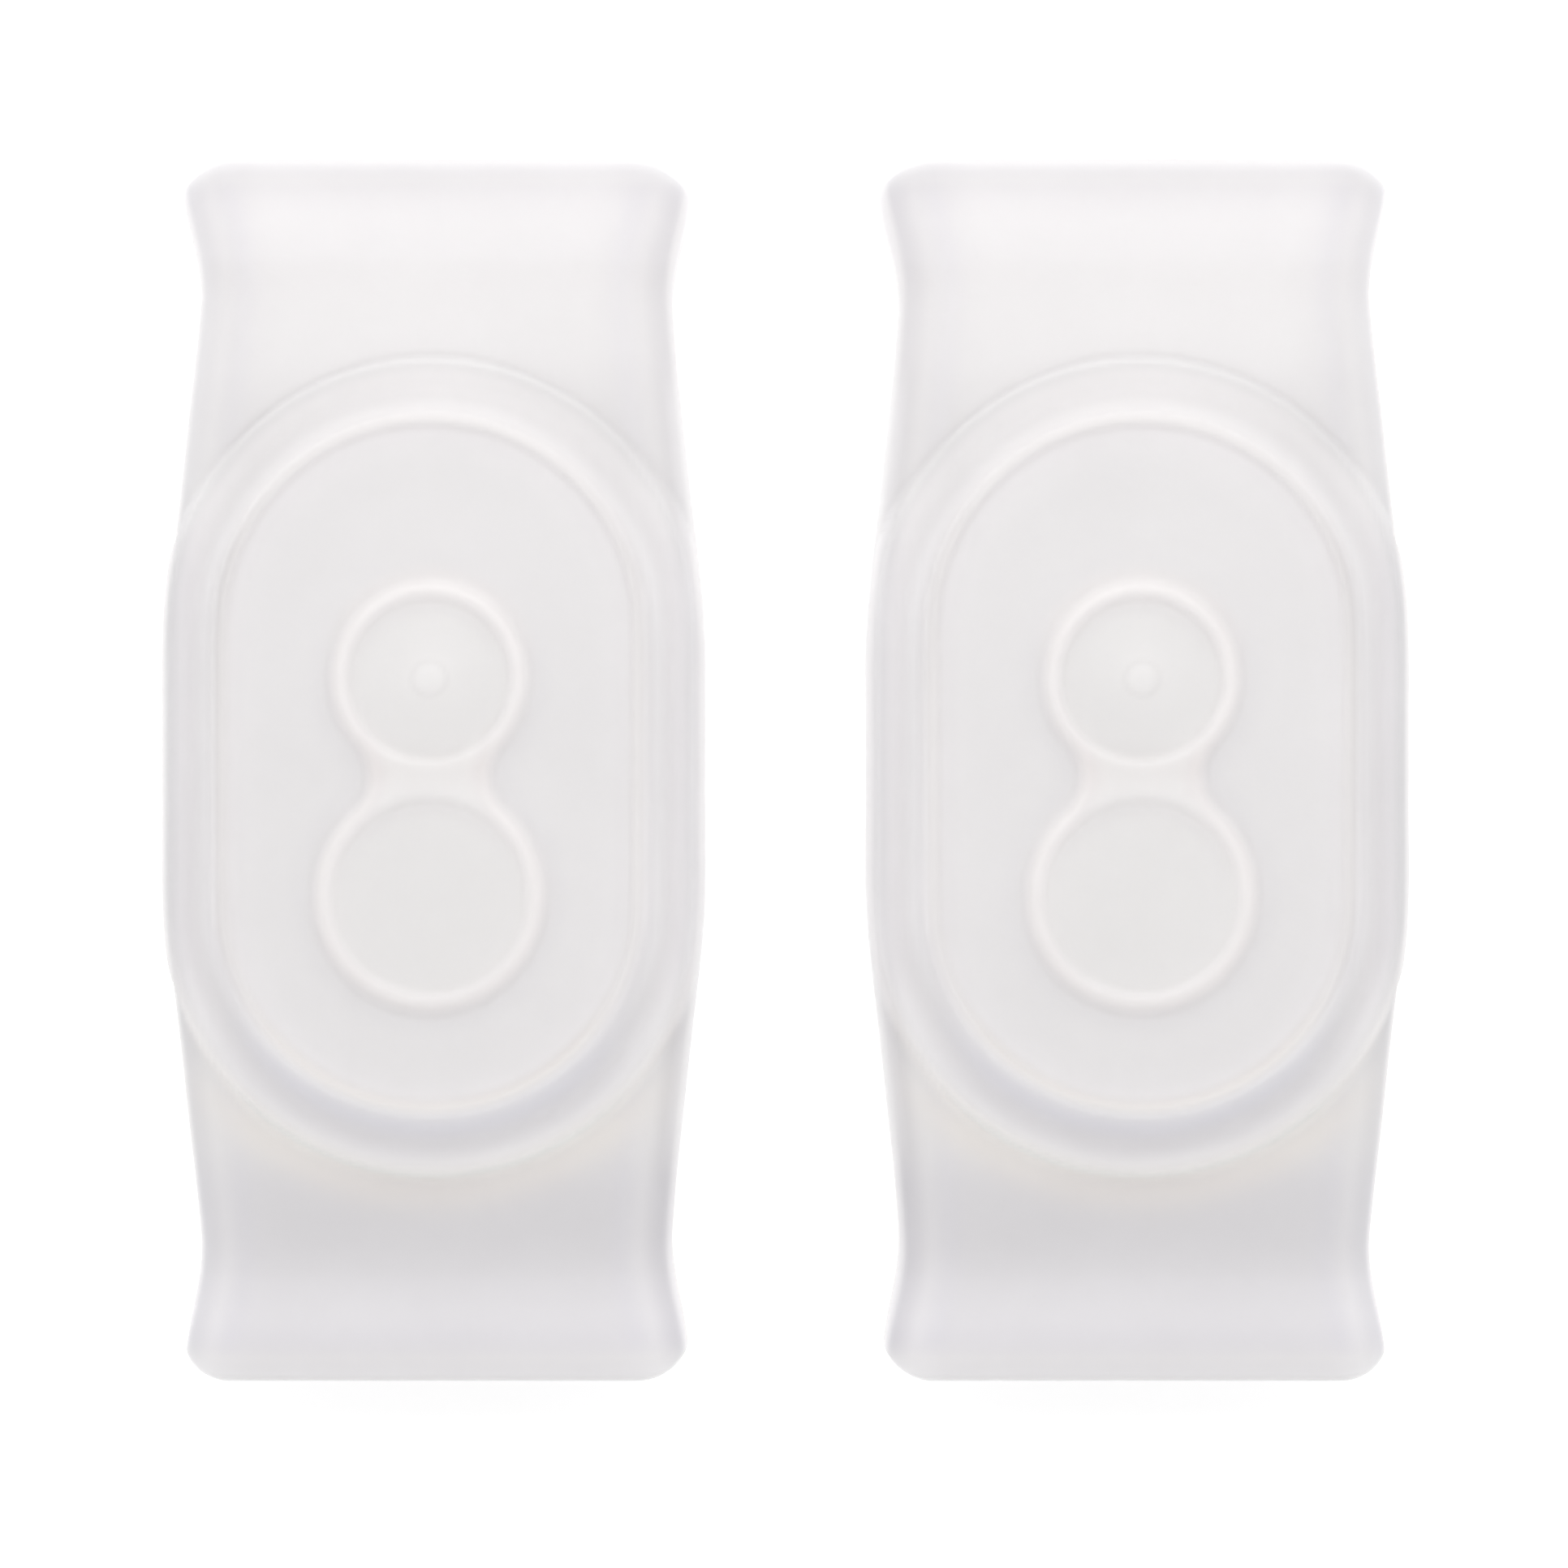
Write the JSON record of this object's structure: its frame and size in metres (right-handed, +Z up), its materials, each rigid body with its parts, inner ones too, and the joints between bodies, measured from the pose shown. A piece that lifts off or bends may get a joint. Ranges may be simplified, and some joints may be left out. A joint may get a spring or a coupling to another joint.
{
  "type": "silicone sleeve guard pair",
  "caption": "Soft translucent sleeve guard, a flat tube open at both ends with flared mouths and a raised stadium boss with a figure-eight relief.",
  "frame": {"origin": "middle of the pair's box, on the surface that the guards lie on", "axes": "+X across the pair from the left guard to the right one, +Y along both guards towards the mouth nearer the small cap, +Z up out of the boss. Each guard lies on its flat back with its boss up."},
  "size_m": [0.1526, 0.15, 0.0291],
  "materials": {
    "silicone": "translucent white silicone, satin"
  },
  "bodies": {
    "left_guard": {"left_guard": "silicone"},
    "right_guard": {"right_guard": "silicone"}
  },
  "joints": [
    {"name": "right_guard_lift", "type": "slide", "parent": "left_guard", "child": "right_guard", "axis": [0, 0, 1], "range_m": [0, 0.05]}
  ]
}
